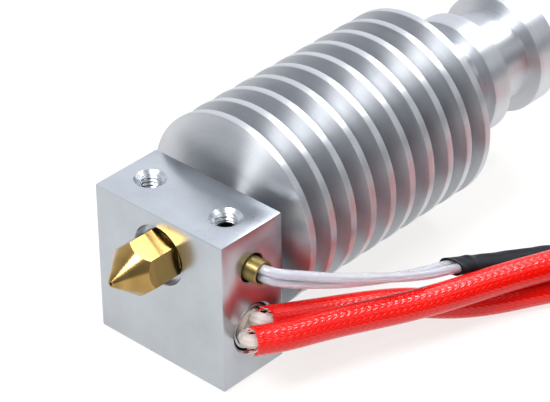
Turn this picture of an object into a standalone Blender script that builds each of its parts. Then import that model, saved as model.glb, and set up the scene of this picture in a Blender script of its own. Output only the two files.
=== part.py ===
"""Hotend assembly of a filament 3-D printer, with its heater and thermistor leads.

The hotend lies on its side, as it is stored: its axis runs along Y, with the nozzle
towards -Y and the mounting end towards +Y. The leads leave the heater block on its +X
side and are wound into one tied coil. Metres, +Z up. The origin is at the middle of the
hotend's footprint, on the surface that it lies on.

Stations are distances along the hotend's axis from the heater block's nozzle face.
"""

import math

import bmesh
import bpy
import numpy as np
from mathutils import Matrix, Vector

MM = 0.001
GAP = 0.3  # clearance between neighbouring pieces
FINE = 48  # sides of a large turned piece
ROUND = 24  # sides of a small turned piece

# Heater block
BLOCK_WIDTH = 20.0
BLOCK_DEPTH = 10.0
BLOCK_HEIGHT = 20.0
BLOCK_TOP = 5.4  # above the hotend's axis
BLOCK_BEVEL = 0.3
AXIS_HEIGHT = BLOCK_HEIGHT - BLOCK_TOP

# Nozzle, M6
NOZZLE_TIP = -7.6
NOZZLE_TIP_R = 0.45
NOZZLE_HOLE_R = 0.2
NOZZLE_HEX = 6.0  # across flats
NOZZLE_CORNER_R = NOZZLE_HEX / math.sqrt(3)
NOZZLE_CONE_END = -3.75  # where the cone meets the hexagon's corners
NOZZLE_SHOULDER = 0.3
NOZZLE_TURN = 41.0  # degrees that the hexagon stands turned in the block
NOZZLE_END = 7.0
COUNTERBORE_R = 3.8
COUNTERBORE_DEPTH = 0.8
THREAD_R = 2.8  # outside of the M6 threads
THREAD_BORE_R = 3.05

# Heat break and its liner
BREAK_START = 7.3
BREAK_END = 33.0
BREAK_NECK_R = 2.5
MELT_BORE_R = 1.0
LINER_R = 2.0
LINER_BORE_R = 1.0
LINER_CLEARANCE = GAP
LINER_START = 8.7
LINER_END = 57.6

# Heatsink, turned in one piece
HEATSINK_START = 12.1
FIN_R = 12.5
FIN_COUNT = 10
FIN_THICKNESS = 1.0
FIN_PITCH = 3.5
FIN_CORE_R = 7.0
STEM_R = 6.0
STEM_LENGTH = 6.6
COLLAR_R = 8.0
COLLAR_LENGTH = 3.0
GROOVE_R = 6.0
GROOVE_LENGTH = 6.0
FLANGE_LENGTH = 3.7
FINS_END = HEATSINK_START + (FIN_COUNT - 1) * FIN_PITCH + FIN_THICKNESS
COLLAR_START = FINS_END + STEM_LENGTH
GROOVE_START = COLLAR_START + COLLAR_LENGTH
FLANGE_START = GROOVE_START + GROOVE_LENGTH
HEATSINK_END = FLANGE_START + FLANGE_LENGTH

# Push-fit for the filament tube
INSERT_R = 3.9
INSERT_LENGTH = 5.0
INSERT_MOUTH_R = 3.1
INSERT_INNER_R = 3.45
COLLET_R = 2.75
COLLET_BORE_R = 2.1
COLLET_HEAD_R = 3.7
COLLET_HEAD = 1.5
COLLET_TRAVEL = 1.0
COLLET_GAP = 1.2
COLLET_SHANK = 4.2
COLLET_END = HEATSINK_END + COLLET_GAP + COLLET_HEAD

FACE_Y = -(COLLET_END + NOZZLE_TIP) / 2  # row Y of the block's nozzle face

# Cartridge heater, across the block
HEATER_STATION = 5.0
HEATER_DROP = -8.0
HEATER_BORE_R = 3.05
HEATER_R = 2.8
HEATER_WALL = 0.35
HEATER_START = -9.6
HEATER_END = 9.7
CORE_R = 1.5
ELEMENT_R = 1.95
ELEMENT_WIRE = 0.3
ELEMENT_TURNS = 7
SEAL_R = 2.15
SEAL_LENGTH = 1.4

# Thermistor cartridge
THERMISTOR_STATION = 5.0
THERMISTOR_RISE = 0.3
THERMISTOR_BORE_R = 1.8
THERMISTOR_BORE_END = 4.2
CAPSULE_R = 1.5
CAPSULE_BORE_R = 1.2
CAPSULE_START = 4.5
CAPSULE_END = 11.7

# Clamping screws, M3
SCREW_X = 6.0
SCREW_BORE_R = 1.5
SCREW_CHAMFER_R = 1.9
SCREW_R = 1.25
SCREW_SOCKET = 1.5  # across flats
SCREW_LENGTH = {"thermistor": 2.0, "heater": 5.0}
SCREW_REST = {"thermistor": 2.1, "heater": -4.85}

# Leads
LEAD = 3.4  # outer diameter of a heater lead's sleeve
WIRE = 1.2  # outer diameter of a thermistor wire and of its clear sleeve
WIRE_SPACING = WIRE + GAP

# Coil of the leads, turned round its own upright axis
COIL_X = 64.5
COIL_Y = 8.0
COIL_LIFT = 1.05
COIL_MEAN_R = 20.4
LEAD_ROWS = 2
LEAD_COLUMNS = 4
WIRE_RING_WIDTH = 9.6
WIRE_RING_HEIGHT = 2.4
LEAD_RING_WIDTH = LEAD_COLUMNS * LEAD
LEAD_RING_HEIGHT = LEAD_ROWS * LEAD
RING_BOTTOM = {
    "b": COIL_LIFT,
    "a": COIL_LIFT + LEAD_RING_HEIGHT + GAP,
    "wire": COIL_LIFT + 2 * (LEAD_RING_HEIGHT + GAP),
}
TIE_THICKNESS = 0.7
TIE_WIDTH = 2.5
TIE_ANGLES = (75.0, 255.0)

# Connector on the thermistor wires
CONTACT_PITCH = 2.54
HOUSING_WIDTH = 5.1
HOUSING_HEIGHT = 2.5
HOUSING_LENGTH = 14.0
CONTACT_HOLE = 1.9
CONTACT = 1.3
CONTACT_LENGTH = 9.8
WIRE_INSERTION = 3.0  # how far the wires reach into the housing

# Crimped ends of the heater leads
FERRULE_COLLAR = 3.0
FERRULE_COLLAR_LENGTH = 5.0
FERRULE_PIN = 1.8
FERRULE_PIN_LENGTH = 7.0

# Routes in the row's own frame, millimetres, each from the hotend's side to its other end
HEATER_TAIL = 1.4  # diameter of the insulated wires between the heater and the sleeves
HEATER_TAIL_ROUTES = {
    "a": [(10.55, -26.0, 6.4), (11.2, -27.8, 7.1), (11.8, -29.3, 7.8)],
    "b": [(10.45, -24.2, 6.3), (11.0, -24.3, 6.5), (11.6, -24.0, 6.6)],
}
LEAD_ROUTES = {
    "a": [
        (13.4, -28.1, 8.3), (14.8, -25.1, 8.0), (16.0, -21.3, 7.6), (18.0, -14.8, 6.75),
        (19.7, -10.1, 6.2), (22.5, -1.9, 5.8), (24.4, 3.7, 5.6), (26.8, 9.0, 5.7),
        (29.4, 13.4, 6.1), (33.2, 17.7, 7.0), (38.6, 21.4, 8.2),
    ],
    "b": [
        (11.95, -22.4, 6.7), (12.2, -20.4, 6.3), (13.4, -14.9, 5.1), (15.4, -9.4, 4.0),
        (17.3, -5.0, 2.9), (19.6, -1.4, 2.0), (22.7, 2.8, 1.77), (25.4, 7.6, 1.75),
        (28.8, 13.0, 1.75), (33.2, 17.7, 1.9), (38.6, 21.4, 2.2),
    ],
}
SLEEVE_ROUTE = [
    (12.65, -24.1, 14.85), (14.4, -22.0, 14.1), (16.8, -17.4, 12.6), (18.3, -12.4, 10.95),
    (19.15, -8.6, 9.7), (19.6, -4.6, 8.4), (19.9, -1.4, 7.5),
]
SPLICE_ROUTE = [
    (19.9, -0.75, 7.3), (20.35, 2.6, 6.15), (21.1, 4.8, 5.65), (22.1, 7.1, 5.3),
    (23.3, 9.5, 5.15), (24.2, 11.15, 5.05),
]
WIRE_ROUTE = [
    (24.6, 11.9, 5.05), (25.6, 14.2, 5.6), (27.8, 17.6, 8.2), (30.8, 20.6, 11.2),
    (34.2, 23.4, 13.6), (38.4, 25.8, 15.2), (42.9, 27.2, 15.85), (46.7, 28.2, 15.85),
]

# Each end leaves the far side of the coil clockwise and comes down beside it.
LEAD_ENDS = {
    "a": [
        (87.1, -10.4, 12.6), (84.9, -16.9, 9.6), (81.2, -21.8, 5.6), (77.4, -24.3, 2.8),
        (74.0, -25.5, 1.8), (70.4, -26.2, 1.75),
    ],
    "b": [
        (88.7, -8.4, 5.6), (87.9, -15.0, 3.4), (86.0, -21.0, 1.9), (82.8, -25.8, 1.75),
        (79.0, -28.6, 1.75), (75.6, -29.9, 1.75),
    ],
}
WIRE_END_ROUTE = [
    (90.4, 0.4, 17.05), (91.2, -5.0, 16.4), (91.5, -10.0, 13.6), (91.3, -14.2, 9.0),
    (90.8, -17.8, 4.5), (90.4, -21.0, 1.7), (90.2, -23.6, 1.3), (90.1, -25.9, 1.3),
]


def clear_scene():
    for obj in list(bpy.data.objects):
        bpy.data.objects.remove(obj, do_unlink=True)


def material(name, color, metallic, roughness):
    made = bpy.data.materials.new(name)
    made.use_nodes = True
    shader = made.node_tree.nodes["Principled BSDF"]
    shader.inputs["Base Color"].default_value = (*color, 1.0)
    shader.inputs["Metallic"].default_value = metallic
    shader.inputs["Roughness"].default_value = roughness
    return made


def make_materials():
    rows = {
        "aluminium": ((0.72, 0.74, 0.76), 1.0, 0.32),
        "brass": ((0.78, 0.58, 0.22), 1.0, 0.22),
        "steel": ((0.58, 0.58, 0.60), 1.0, 0.3),
        "black_steel": ((0.06, 0.06, 0.065), 0.9, 0.4),
        "ptfe": ((0.88, 0.90, 0.93), 0.0, 0.25),
        "red_sleeve": ((0.75, 0.02, 0.01), 0.0, 0.25),
        "glass_fibre": ((0.86, 0.82, 0.72), 0.0, 0.8),
        "ceramic": ((0.9, 0.88, 0.82), 0.0, 0.6),
        "nichrome": ((0.4, 0.38, 0.36), 1.0, 0.4),
        "glass": ((0.25, 0.12, 0.08), 0.0, 0.1),
        "shrink": ((0.01, 0.012, 0.015), 0.0, 0.35),
        "white_wire": ((0.85, 0.85, 0.83), 0.0, 0.35),
        "black_plastic": ((0.015, 0.015, 0.015), 0.0, 0.4),
        "tinned": ((0.75, 0.74, 0.72), 1.0, 0.3),
        "nylon": ((0.8, 0.8, 0.76), 0.0, 0.45),
    }
    return {name: material(name, *row) for name, row in rows.items()}


def add_frame():
    """The empty that holds the hotend: on its axis, at the block's nozzle face."""
    frame = bpy.data.objects.new("hotend_frame", None)
    frame.location = (0, FACE_Y * MM, AXIS_HEIGHT * MM)
    bpy.context.collection.objects.link(frame)
    return frame


def add_object(name, data, look, parent=None, location=(0, 0, 0), rotation=(0, 0, 0)):
    """Links an object, with its location in millimetres and its rotation in degrees."""
    obj = bpy.data.objects.new(name, data)
    bpy.context.collection.objects.link(obj)
    obj.data.materials.append(look)
    obj.parent = parent
    obj.location = [c * MM for c in location]
    obj.rotation_euler = [math.radians(a) for a in rotation]
    return obj


def to_mesh(shape, name, smooth_angle=30.0):
    """Ends a bmesh in millimetres as a smooth-shaded mesh in metres."""
    bmesh.ops.remove_doubles(shape, verts=shape.verts, dist=1e-4)
    bmesh.ops.recalc_face_normals(shape, faces=shape.faces)
    bmesh.ops.scale(shape, vec=(MM, MM, MM), verts=shape.verts)
    mesh = bpy.data.meshes.new(name)
    shape.to_mesh(mesh)
    shape.free()
    mesh.shade_smooth()
    mesh.set_sharp_from_angle(angle=math.radians(smooth_angle))
    return mesh


def turned_mesh(name, profile, sides=ROUND, phase=0.0):
    """Spins a closed outline of (radius, height) points round the local Z axis."""
    shape = bmesh.new()
    turn = Matrix.Rotation(math.radians(phase), 3, "Z")
    points = [shape.verts.new(turn @ Vector((r, 0, z))) for r, z in profile]
    pairs = zip(points, points[1:] + points[:1])
    edges = [
        shape.edges.new(pair)
        for pair in pairs
        if pair[0].co.xy.length + pair[1].co.xy.length > 1e-9
    ]
    bmesh.ops.spin(
        shape, geom=points + edges, axis=(0, 0, 1), cent=(0, 0, 0),
        steps=sides, angle=2 * math.pi, use_merge=True,
    )
    return to_mesh(shape, name)


def box_mesh(name, low, high):
    shape = bmesh.new()
    bmesh.ops.create_cube(shape, size=1.0)
    size = [b - a for a, b in zip(low, high)]
    middle = [(a + b) / 2 for a, b in zip(low, high)]
    bmesh.ops.scale(shape, vec=size, verts=shape.verts)
    bmesh.ops.translate(shape, vec=middle, verts=shape.verts)
    return to_mesh(shape, name)


def prism_mesh(name, across_flats, bottom, top, phase=0.0):
    """A hexagonal prism along the local Z axis, its first corner turned to phase degrees."""
    corner_r = across_flats / math.sqrt(3)
    shape = bmesh.new()
    corners = [math.radians(phase + 60 * k) for k in range(6)]
    outline = [
        shape.verts.new((corner_r * math.cos(a), corner_r * math.sin(a), bottom))
        for a in corners
    ]
    face = shape.faces.new(outline)
    moved = bmesh.ops.extrude_face_region(shape, geom=[face])["geom"]
    verts = [item for item in moved if isinstance(item, bmesh.types.BMVert)]
    bmesh.ops.translate(shape, vec=(0, 0, top - bottom), verts=verts)
    return to_mesh(shape, name)


def boolean(obj, tool, operation="DIFFERENCE"):
    """Applies a hidden tool object to obj with an exact Boolean."""
    tool.hide_render = True
    tool.display_type = "WIRE"
    modifier = obj.modifiers.new(operation.lower(), "BOOLEAN")
    modifier.operation = operation
    modifier.solver = "EXACT"
    modifier.object = tool


AXIAL = (-90, 0, 0)  # the rotation that lays local Z along +Y
CROSSWISE = (0, 90, 0)  # the rotation that lays local Z along +X


def add_axial(name, profile, look, frame, sides=ROUND):
    """A piece turned round the hotend's axis; its profile heights are stations."""
    mesh = turned_mesh(name, profile, sides)
    return add_object(name, mesh, look, frame, rotation=AXIAL)


def add_crosswise(name, profile, look, frame, station, rise, sides=ROUND):
    """A piece turned round an axis along X; its profile heights are X positions."""
    mesh = turned_mesh(name, profile, sides)
    return add_object(name, mesh, look, frame, (0, station, rise), CROSSWISE)


def rod(radius, start, end):
    return [(0, start), (radius, start), (radius, end), (0, end)]


def tube(outer, inner, start, end):
    return [(inner, start), (outer, start), (outer, end), (inner, end)]


def add_block(looks, frame):
    half = BLOCK_WIDTH / 2
    low = (-half, 0, BLOCK_TOP - BLOCK_HEIGHT)
    high = (half, BLOCK_DEPTH, BLOCK_TOP)
    block = add_object("heater_block", box_mesh("heater_block", low, high), looks["aluminium"], frame)
    bevel = block.modifiers.new("edges", "BEVEL")
    bevel.width = BLOCK_BEVEL * MM
    bevel.segments = 1
    past = 1.0  # how far a cutter runs out of the block
    look = looks["steel"]
    bore = [
        (0, -past), (COUNTERBORE_R, -past), (COUNTERBORE_R, COUNTERBORE_DEPTH),
        (THREAD_BORE_R, COUNTERBORE_DEPTH), (THREAD_BORE_R, BLOCK_DEPTH + past),
        (0, BLOCK_DEPTH + past),
    ]
    boolean(block, add_axial("cut_nozzle_bore", bore, look, frame))
    heater = rod(HEATER_BORE_R, -half - past, half + past)
    boolean(block, add_crosswise("cut_heater_bore", heater, look, frame, HEATER_STATION, HEATER_DROP))
    sensor = rod(THERMISTOR_BORE_R, THERMISTOR_BORE_END, half + past)
    boolean(
        block,
        add_crosswise("cut_thermistor_bore", sensor, look, frame, THERMISTOR_STATION, THERMISTOR_RISE),
    )
    for side, depth in ((1, THERMISTOR_RISE), (-1, HEATER_DROP)):
        chamfer = SCREW_CHAMFER_R - SCREW_BORE_R
        hole = [
            (0, depth), (SCREW_BORE_R, depth), (SCREW_BORE_R, BLOCK_TOP - chamfer),
            (SCREW_CHAMFER_R, BLOCK_TOP), (SCREW_CHAMFER_R, BLOCK_TOP + past),
            (0, BLOCK_TOP + past),
        ]
        name = f"cut_screw_hole_{'right' if side > 0 else 'left'}"
        cutter = add_object(
            name, turned_mesh(name, hole), look, frame, (side * SCREW_X, BLOCK_DEPTH / 2, 0)
        )
        boolean(block, cutter)
    return block


def add_nozzle(looks, frame):
    slope = (NOZZLE_CORNER_R - NOZZLE_TIP_R) / (NOZZLE_CONE_END - NOZZLE_TIP)
    profile = [
        (NOZZLE_HOLE_R, NOZZLE_TIP), (NOZZLE_TIP_R, NOZZLE_TIP),
        (NOZZLE_CORNER_R + slope * GAP, NOZZLE_CONE_END + GAP),
        (NOZZLE_CORNER_R + slope * GAP, NOZZLE_SHOULDER), (THREAD_R, NOZZLE_SHOULDER),
        (THREAD_R, NOZZLE_END), (MELT_BORE_R, NOZZLE_END),
        (MELT_BORE_R, NOZZLE_TIP + 2.4), (NOZZLE_HOLE_R, NOZZLE_TIP + 0.8),
    ]
    nozzle = add_axial("nozzle", profile, looks["brass"], frame, FINE)
    mesh = prism_mesh("cut_hexagon", NOZZLE_HEX, NOZZLE_TIP - 1, NOZZLE_END + 1, -NOZZLE_TURN)
    hexagon = add_object("cut_hexagon", mesh, looks["steel"], frame, rotation=AXIAL)
    boolean(nozzle, hexagon, "INTERSECT")


def add_filament_path(looks, frame):
    bore = LINER_R + LINER_CLEARANCE
    heat_break = [
        (MELT_BORE_R, BREAK_START), (THREAD_R, BREAK_START), (THREAD_R, BLOCK_DEPTH - 0.4),
        (BREAK_NECK_R, BLOCK_DEPTH), (BREAK_NECK_R, HEATSINK_START), (THREAD_R, HEATSINK_START + 0.4),
        (THREAD_R, BREAK_END), (bore, BREAK_END), (bore, LINER_START - GAP),
        (MELT_BORE_R, LINER_START - GAP),
    ]
    add_axial("heat_break", heat_break, looks["steel"], frame)
    add_axial("ptfe_liner", tube(LINER_R, LINER_BORE_R, LINER_START, LINER_END), looks["ptfe"], frame)


def heatsink_profile():
    outside = []
    for k in range(FIN_COUNT):
        start = HEATSINK_START + k * FIN_PITCH
        end = start + FIN_THICKNESS
        outside += [(FIN_R, start), (FIN_R, end)]
        if k < FIN_COUNT - 1:
            outside += [(FIN_CORE_R, end), (FIN_CORE_R, start + FIN_PITCH)]
    outside += [
        (STEM_R, FINS_END), (STEM_R, COLLAR_START), (COLLAR_R, COLLAR_START),
        (COLLAR_R, GROOVE_START), (GROOVE_R, GROOVE_START), (GROOVE_R, FLANGE_START),
        (COLLAR_R, FLANGE_START), (COLLAR_R, HEATSINK_END),
    ]
    seat_r = INSERT_R + GAP
    seat = HEATSINK_END - INSERT_LENGTH - GAP
    tube_bore = LINER_R + GAP
    inside = [
        (seat_r, HEATSINK_END), (seat_r, seat), (tube_bore, seat),
        (tube_bore, BREAK_END + GAP), (THREAD_BORE_R, BREAK_END + GAP),
        (THREAD_BORE_R, HEATSINK_START),
    ]
    return outside + inside


def add_heatsink(looks, frame):
    add_axial("heatsink", heatsink_profile(), looks["aluminium"], frame, FINE)


def add_push_fit(looks, frame):
    start = HEATSINK_END - INSERT_LENGTH
    insert = [
        (INSERT_INNER_R, start), (INSERT_R, start), (INSERT_R, HEATSINK_END),
        (INSERT_MOUTH_R, HEATSINK_END), (INSERT_MOUTH_R, HEATSINK_END - 2.0),
        (INSERT_INNER_R, HEATSINK_END - 3.0),
    ]
    add_axial("collet_insert", insert, looks["brass"], frame)
    head = HEATSINK_END + COLLET_GAP
    rest = add_holder("collet_rest", frame, (0, head, 0))
    collet = [
        (COLLET_BORE_R, -COLLET_SHANK), (COLLET_R, -COLLET_SHANK), (COLLET_R, 0),
        (COLLET_HEAD_R, 0), (COLLET_HEAD_R, COLLET_HEAD), (COLLET_BORE_R, COLLET_HEAD),
    ]
    add_axial("collet", collet, looks["black_plastic"], rest)


def add_holder(name, parent, location):
    holder = bpy.data.objects.new(name, None)
    holder.parent = parent
    holder.location = [c * MM for c in location]
    bpy.context.collection.objects.link(holder)
    return holder


def add_heater(looks, frame):
    def crosswise(name, profile, look, sides=ROUND):
        return add_crosswise(name, profile, looks[look], frame, HEATER_STATION, HEATER_DROP, sides)

    inner = HEATER_R - HEATER_WALL
    sheath = [
        (0, HEATER_START), (HEATER_R, HEATER_START), (HEATER_R, HEATER_END),
        (inner, HEATER_END), (inner, HEATER_START + 0.8), (0, HEATER_START + 0.8),
    ]
    crosswise("heater_sheath", sheath, "steel")
    core_start = HEATER_START + 1.2
    core_end = HEATER_END - SEAL_LENGTH - GAP
    crosswise("heater_core", rod(CORE_R, core_start, core_end), "ceramic")
    crosswise("heater_seal", rod(SEAL_R, HEATER_END - SEAL_LENGTH, HEATER_END - 0.05), "ceramic")
    turns = np.linspace(0, 2 * math.pi * ELEMENT_TURNS, 12 * ELEMENT_TURNS + 1)
    along = np.linspace(core_start + 0.8, core_end - 0.8, len(turns))
    points = np.column_stack(
        [
            along,
            HEATER_STATION + ELEMENT_R * np.cos(turns),
            HEATER_DROP + ELEMENT_R * np.sin(turns),
        ]
    )
    add_cord("heater_element", points, ELEMENT_WIRE, looks["nichrome"], frame, resolution=1)
    for letter, route in HEATER_TAIL_ROUTES.items():
        tail = smooth_route(route, 0.8)
        add_cord(f"heater_tail_{letter}", tail, HEATER_TAIL, looks["glass_fibre"], None)


def add_thermistor(looks, frame):
    def crosswise(name, profile, look, sides=ROUND):
        return add_crosswise(
            name, profile, looks[look], frame, THERMISTOR_STATION, THERMISTOR_RISE, sides
        )

    capsule = [
        (0, CAPSULE_START), (CAPSULE_R, CAPSULE_START), (CAPSULE_R, CAPSULE_END),
        (CAPSULE_BORE_R, CAPSULE_END), (CAPSULE_BORE_R, CAPSULE_START + 0.4),
        (0, CAPSULE_START + 0.4),
    ]
    crosswise("thermistor_capsule", capsule, "brass")
    bead_middle = CAPSULE_START + 1.5
    angles = [math.radians(a) for a in range(-90, 91, 30)]
    bead = [(0.6 * max(0.0, math.cos(a)), bead_middle + 0.8 * math.sin(a)) for a in angles]
    bead[0] = (0, bead[0][1])
    bead[-1] = (0, bead[-1][1])
    crosswise("thermistor_bead", bead, "glass", 12)
    crosswise("thermistor_cement", rod(0.9, bead_middle + 1.1, bead_middle + 3.0), "ceramic", 12)


def pair_paths(route, step, turns, spacings=(WIRE_SPACING, WIRE_SPACING)):
    """Two paths beside each other; the pair's turn and spacing change along the route."""
    middle = smooth_route(route, step)
    along = unit(np.gradient(middle, axis=0))
    flat = unit(np.cross(along, (0, 0, 1)))
    up = np.cross(flat, along)
    share = np.linspace(0, 1, len(middle))[:, None]
    turn = np.radians(turns[0] + (turns[1] - turns[0]) * share)
    half = (spacings[0] + (spacings[1] - spacings[0]) * np.clip(3 * share - 2, 0, 1)) / 2
    side = np.cos(turn) * flat + np.sin(turn) * up
    return [middle + sign * half * side for sign in (1, -1)]


def unit(rows):
    return rows / np.linalg.norm(rows, axis=1)[:, None]


def smooth_route(route, step):
    """Points about step apart on the natural cubic spline through the route's points."""
    points = np.array(route, float)
    lengths = np.linalg.norm(np.diff(points, axis=0), axis=1)
    knots = np.concatenate([[0], np.cumsum(lengths)])
    count = len(points)
    system, bends = np.eye(count), np.zeros((count, 3))
    for i in range(1, count - 1):
        before, after = lengths[i - 1], lengths[i]
        system[i, i - 1 : i + 2] = before, 2 * (before + after), after
        rise = (points[i + 1] - points[i]) / after - (points[i] - points[i - 1]) / before
        bends[i] = 6 * rise
    curve = np.linalg.solve(system, bends)
    at = np.linspace(0, knots[-1], max(3, round(knots[-1] / step) + 1))
    i = np.clip(np.searchsorted(knots, at, side="right") - 1, 0, count - 2)
    span = lengths[i][:, None]
    t = ((at - knots[i]) / lengths[i])[:, None]
    straight = (1 - t) * points[i] + t * points[i + 1]
    sag = ((1 - t) ** 3 - (1 - t)) * curve[i] + (t**3 - t) * curve[i + 1]
    return straight + sag * span**2 / 6


def add_cord(name, points, diameter, look, parent, resolution=2):
    """A round closed tube along the points, in millimetres."""
    curve = bpy.data.curves.new(name, "CURVE")
    curve.dimensions = "3D"
    curve.bevel_depth = diameter / 2 * MM
    curve.bevel_resolution = resolution
    curve.use_fill_caps = True
    spline = curve.splines.new("POLY")
    spline.points.add(len(points) - 1)
    for target, point in zip(spline.points, points):
        target.co = (*(float(c) * MM for c in point), 1.0)
    return add_object(name, curve, look, parent)


def add_sensor_leads(looks):
    sleeves = pair_paths(SLEEVE_ROUTE, 2.5, (80, 0))
    wires = pair_paths(WIRE_ROUTE, 3.0, (0, 0))
    ends = pair_paths(WIRE_END_ROUTE, 3.0, (0, 0), (WIRE_SPACING, CONTACT_PITCH))
    for letter, sleeve, wire, end in zip("ab", sleeves, wires, ends):
        white = looks["white_wire"]
        add_cord(f"thermistor_sleeve_{letter}", sleeve, WIRE, looks["ptfe"], None)
        add_cord(f"thermistor_wire_{letter}", wire, WIRE, white, None)
        add_cord(f"thermistor_wire_{letter}_end", end, WIRE, white, None)
    add_splice(looks)
    add_ring(
        "thermistor_wire_coil", WIRE_RING_WIDTH, RING_BOTTOM["wire"], WIRE_RING_HEIGHT,
        looks["white_wire"],
    )
    add_connector((ends[0] + ends[1]) / 2, looks)


def add_connector(path, looks):
    """The two-way housing at the end of the path, with one crimped contact in each way."""
    heading = Vector(path[-1] - path[-2]).normalized()
    turn = math.atan2(heading.y, heading.x)
    rest = add_holder("connector_rest", None, path[-1])
    rest.rotation_euler = (0, 0, turn)
    start = -WIRE_INSERTION
    half = HOUSING_WIDTH / 2, HOUSING_HEIGHT / 2
    low, high = (start, -half[0], -half[1]), (start + HOUSING_LENGTH, *half)
    mesh = box_mesh("connector_housing", low, high)
    housing = add_object("connector_housing", mesh, looks["black_plastic"], rest)
    for letter, side in (("a", -1), ("b", 1)):
        middle = side * CONTACT_PITCH / 2
        hole = CONTACT_HOLE / 2
        low = (start - 1, middle - hole, -hole)
        high = (start + HOUSING_LENGTH + 1, middle + hole, hole)
        name = f"cut_contact_hole_{letter}"
        boolean(housing, add_object(name, box_mesh(name, low, high), looks["steel"], rest))
        wide = CONTACT / 2
        low, high = (GAP, middle - wide, -wide), (GAP + CONTACT_LENGTH, middle + wide, wide)
        name = f"connector_terminal_{letter}"
        add_object(name, box_mesh(name, low, high), looks["tinned"], rest)


def add_splice(looks):
    """The heat-shrink over the joints: wide and flat over the sleeves, narrow at its far end."""
    path = smooth_route(SPLICE_ROUTE, 1.6)
    along = unit(np.gradient(path, axis=0))
    flat = unit(np.cross(along, (0, 0, 1)))
    up = np.cross(flat, along)
    share = np.linspace(0, 1, len(path))
    half_width = np.interp(share, [0, 0.3, 0.5, 1], [1.6, 1.5, 1.3, 1.15])
    half_height = np.interp(share, [0, 0.3, 0.5, 1], [0.95, 0.95, 0.85, 0.7])
    sides = 16
    shape = bmesh.new()
    rings = []
    for k in range(len(path)):
        angles = [2 * math.pi * j / sides for j in range(sides)]
        ring = [
            path[k] + half_width[k] * math.cos(a) * flat[k] + half_height[k] * math.sin(a) * up[k]
            for a in angles
        ]
        rings.append([shape.verts.new(point) for point in ring])
    for low, high in zip(rings, rings[1:]):
        for j in range(sides):
            shape.faces.new((low[j], low[j - 1], high[j - 1], high[j]))
    shape.faces.new(rings[0])
    shape.faces.new(reversed(rings[-1]))
    add_object("splice_sleeve", to_mesh(shape, "splice_sleeve"), looks["shrink"])


def add_ring(name, width, bottom, height, look):
    """The outer shape of one coil: a turned ring with rounded edges."""
    low, high = COIL_MEAN_R - width / 2, COIL_MEAN_R + width / 2
    round_off = 0.25 * height
    top = bottom + height
    profile = [
        (low, bottom + round_off), (low + round_off, bottom), (high - round_off, bottom),
        (high, bottom + round_off), (high, top - round_off), (high - round_off, top),
        (low + round_off, top), (low, top - round_off),
    ]
    mesh = turned_mesh(name, profile, FINE)
    add_object(name, mesh, look, None, (COIL_X, COIL_Y, 0))


def add_heater_leads(looks):
    red = looks["red_sleeve"]
    for letter, route in LEAD_ROUTES.items():
        name = f"heater_lead_{letter}"
        add_cord(name, smooth_route(route, 4.0), LEAD, red, None)
        add_ring(f"{name}_coil", LEAD_RING_WIDTH, RING_BOTTOM[letter], LEAD_RING_HEIGHT, red)
        end = smooth_route(LEAD_ENDS[letter], 4.0)
        add_cord(f"{name}_end", end, LEAD, red, None)
        add_ferrule(letter, end, looks)


def add_ferrule(letter, path, looks):
    """The crimped end of a heater lead, in line with the lead's last stretch."""
    heading = unit(path[-1:] - path[-2:-1])[0]
    start = GAP
    for part, diameter, length, look in (
        ("collar", FERRULE_COLLAR, FERRULE_COLLAR_LENGTH, "nylon"),
        ("pin", FERRULE_PIN, FERRULE_PIN_LENGTH, "tinned"),
    ):
        ends = [path[-1] + heading * start, path[-1] + heading * (start + length)]
        add_cord(f"ferrule_{part}_{letter}", ends, diameter, looks[look], None, resolution=3)
        start += length + GAP


def add_screws(looks, frame):
    for key, side in (("thermistor", 1), ("heater", -1)):
        name = f"{key}_grub_screw"
        rest = SCREW_REST[key]
        top = rest + SCREW_LENGTH[key]
        body = [
            (0, rest), (SCREW_R - 0.35, rest), (SCREW_R, rest + 0.35), (SCREW_R, top - 0.2),
            (SCREW_R - 0.2, top), (0, top),
        ]
        place = (side * SCREW_X, BLOCK_DEPTH / 2, 0)
        screw = add_object(name, turned_mesh(name, body), looks["black_steel"], frame, place)
        socket = prism_mesh(f"cut_{name}", SCREW_SOCKET, top - 1.5, top + 1)
        boolean(screw, add_object(f"cut_{name}", socket, looks["steel"], frame, place))


def add_ties(looks):
    """Two flat ties round the whole coil."""
    inner = COIL_MEAN_R - LEAD_RING_WIDTH / 2 - GAP
    outer = COIL_MEAN_R + LEAD_RING_WIDTH / 2 + GAP
    shoulder = RING_BOTTOM["wire"] - GAP / 2
    top = RING_BOTTOM["wire"] + WIRE_RING_HEIGHT + GAP
    wire_low = COIL_MEAN_R - WIRE_RING_WIDTH / 2 - GAP
    wire_high = COIL_MEAN_R + WIRE_RING_WIDTH / 2 + GAP
    inside = [
        (inner, COIL_LIFT - GAP), (outer, COIL_LIFT - GAP), (outer, shoulder), (wire_high, top),
        (wire_low, top), (inner, shoulder),
    ]
    t = TIE_THICKNESS
    outside = [
        (inner - t, COIL_LIFT - GAP - t), (outer + t, COIL_LIFT - GAP - t),
        (outer + t, shoulder + t / 2), (wire_high + t / 2, top + t), (wire_low - t / 2, top + t),
        (inner - t, shoulder + t / 2),
    ]
    for number, angle in enumerate(TIE_ANGLES, 1):
        shape = bmesh.new()
        faces = []
        loops = [[shape.verts.new((r, -TIE_WIDTH / 2, z)) for r, z in line] for line in (inside, outside)]
        count = len(inside)
        for j in range(count):
            k = (j + 1) % count
            faces.append(shape.faces.new((loops[0][j], loops[0][k], loops[1][k], loops[1][j])))
        moved = bmesh.ops.extrude_face_region(shape, geom=faces)["geom"]
        verts = [item for item in moved if isinstance(item, bmesh.types.BMVert)]
        bmesh.ops.translate(shape, vec=(0, TIE_WIDTH, 0), verts=verts)
        name = f"coil_tie_{number}"
        add_object(
            name, to_mesh(shape, name), looks["nylon"], None, (COIL_X, COIL_Y, 0), (0, 0, angle)
        )


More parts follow.
